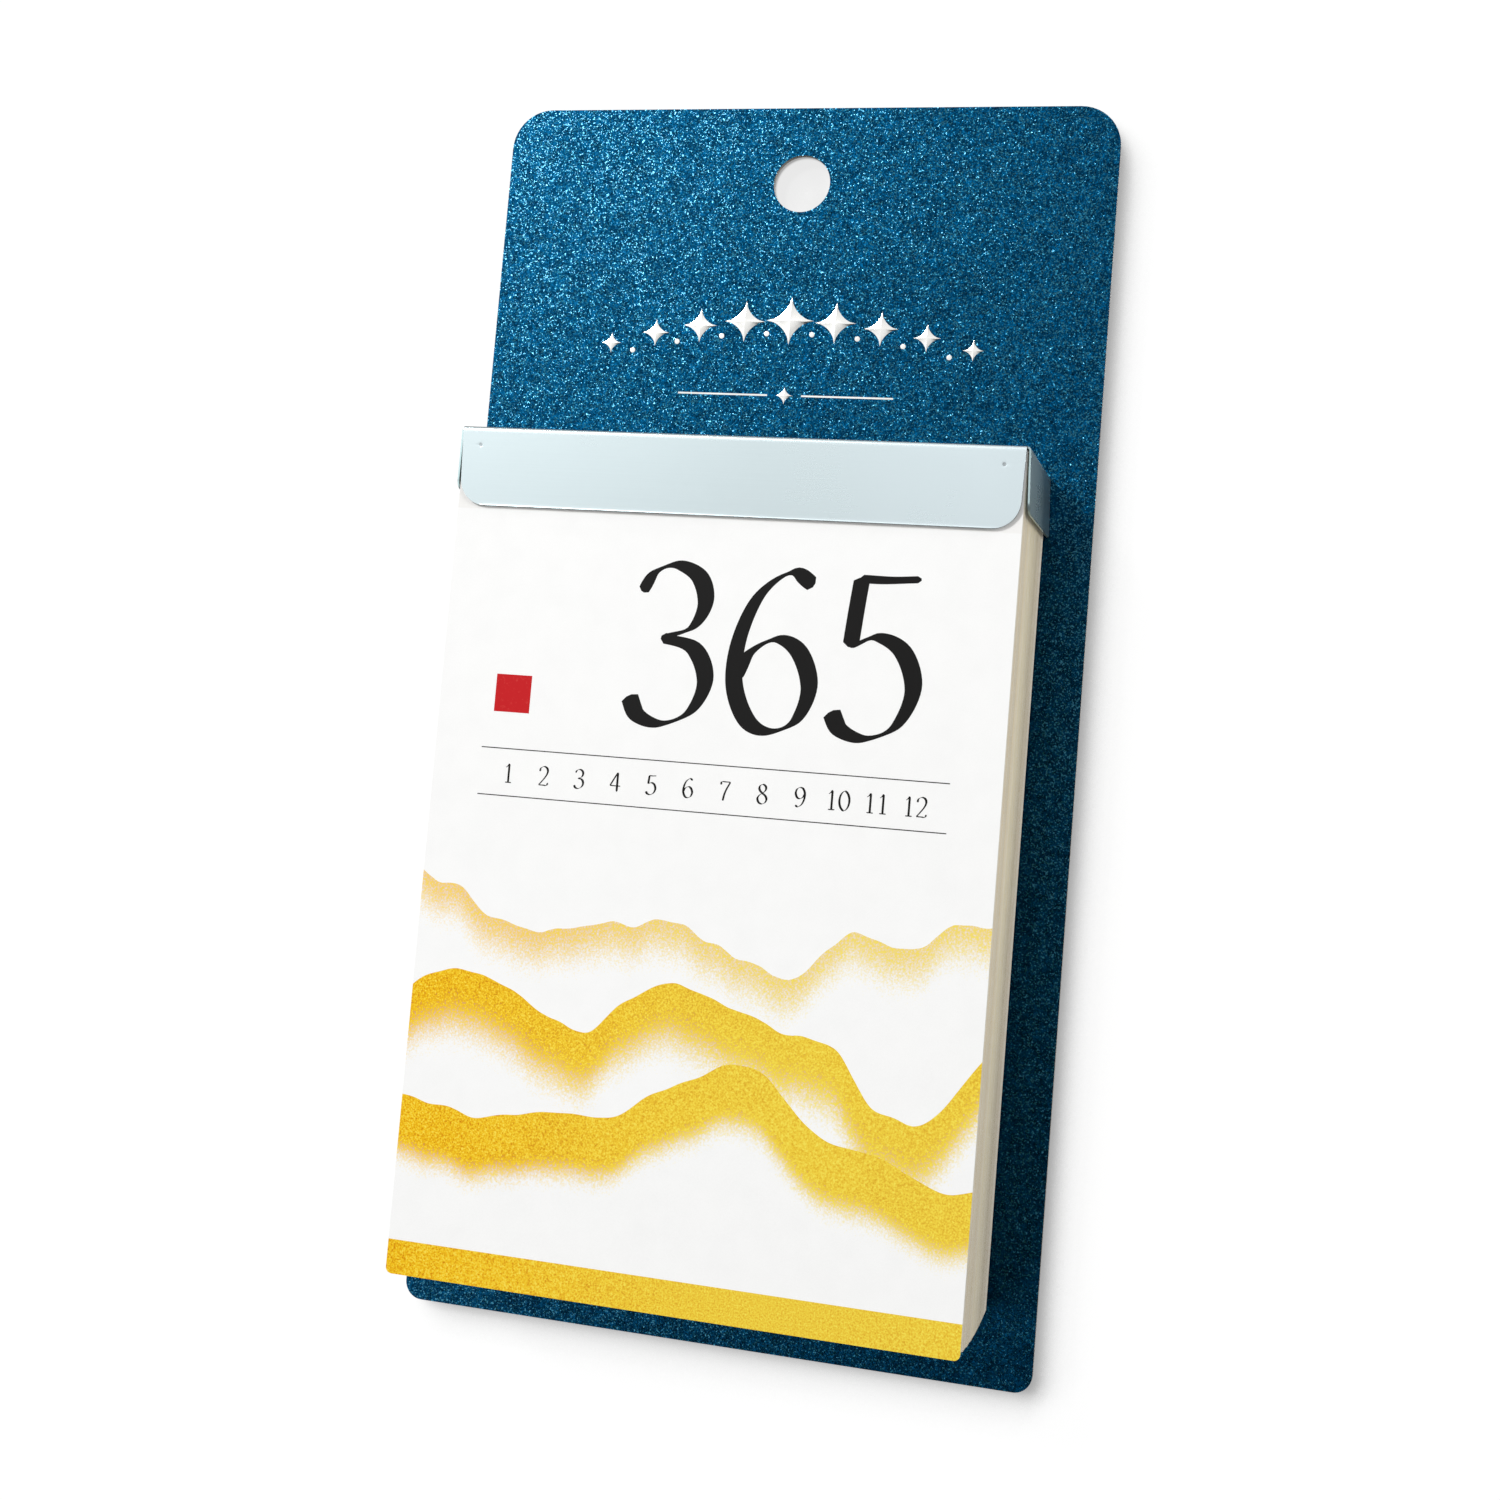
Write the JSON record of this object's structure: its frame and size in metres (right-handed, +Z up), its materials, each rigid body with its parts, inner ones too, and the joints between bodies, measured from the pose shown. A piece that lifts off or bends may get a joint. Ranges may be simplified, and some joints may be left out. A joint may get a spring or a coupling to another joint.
{
  "type": "tear-off day calendar",
  "caption": "Hanging wall calendar: a pad of tear-off day leaves under a folded tinplate clip, on a glitter-faced card board with a round hang hole.",
  "frame": {"origin": "centre of the hang hole, on the back face of the board", "axes": "+Z up along the board, the leaves face -Y, +X to the viewer's right"},
  "size_m": [0.108, 0.0274, 0.209],
  "materials": {
    "glitter_paper": "metallic glitter blue",
    "grey_card": "uncoated grey card",
    "tinplate": "bright tinplate",
    "staple_wire": "drawn wire",
    "back_card": "uncoated card",
    "leaf_paper": "uncoated cream paper",
    "cover_paper": "smooth white paper"
  },
  "bodies": {
    "mounted_pad": {"board_core": "grey_card", "board_face_paper": "glitter_paper", "tinplate_clip": "tinplate", "left_staple": "staple_wire", "right_staple": "staple_wire", "pad_back_card": "back_card", "cover_stub": "cover_paper", "week_1_stubs": "leaf_paper", "january_leaves": "leaf_paper", "february_leaves": "leaf_paper", "march_leaves": "leaf_paper", "april_leaves": "leaf_paper", "may_leaves": "leaf_paper", "june_leaves": "leaf_paper", "july_leaves": "leaf_paper", "august_leaves": "leaf_paper", "september_leaves": "leaf_paper", "october_leaves": "leaf_paper", "november_leaves": "leaf_paper", "december_leaves": "leaf_paper"},
    "lifting_leaves": {"week_1_leaves": "leaf_paper"},
    "day_2": {"day_2_leaf": "leaf_paper"},
    "day_1": {"day_1_leaf": "leaf_paper"},
    "cover": {"cover_sheet": "cover_paper"}
  },
  "joints": [
    {"name": "leaf_lift", "type": "hinge", "parent": "mounted_pad", "child": "lifting_leaves", "pos_m": [0, -0.02644, -0.0625], "axis": [-1, 0, 0], "range_deg": [0, 110]},
    {"name": "day_2_tear_off", "type": "slide", "parent": "lifting_leaves", "child": "day_2", "axis": [0, 0, -1], "range_m": [0, 0.15]},
    {"name": "day_1_tear_off", "type": "slide", "parent": "lifting_leaves", "child": "day_1", "axis": [0, 0, -1], "range_m": [0, 0.15]},
    {"name": "cover_tear_off", "type": "slide", "parent": "lifting_leaves", "child": "cover", "axis": [0, 0, -1], "range_m": [0, 0.15]}
  ]
}
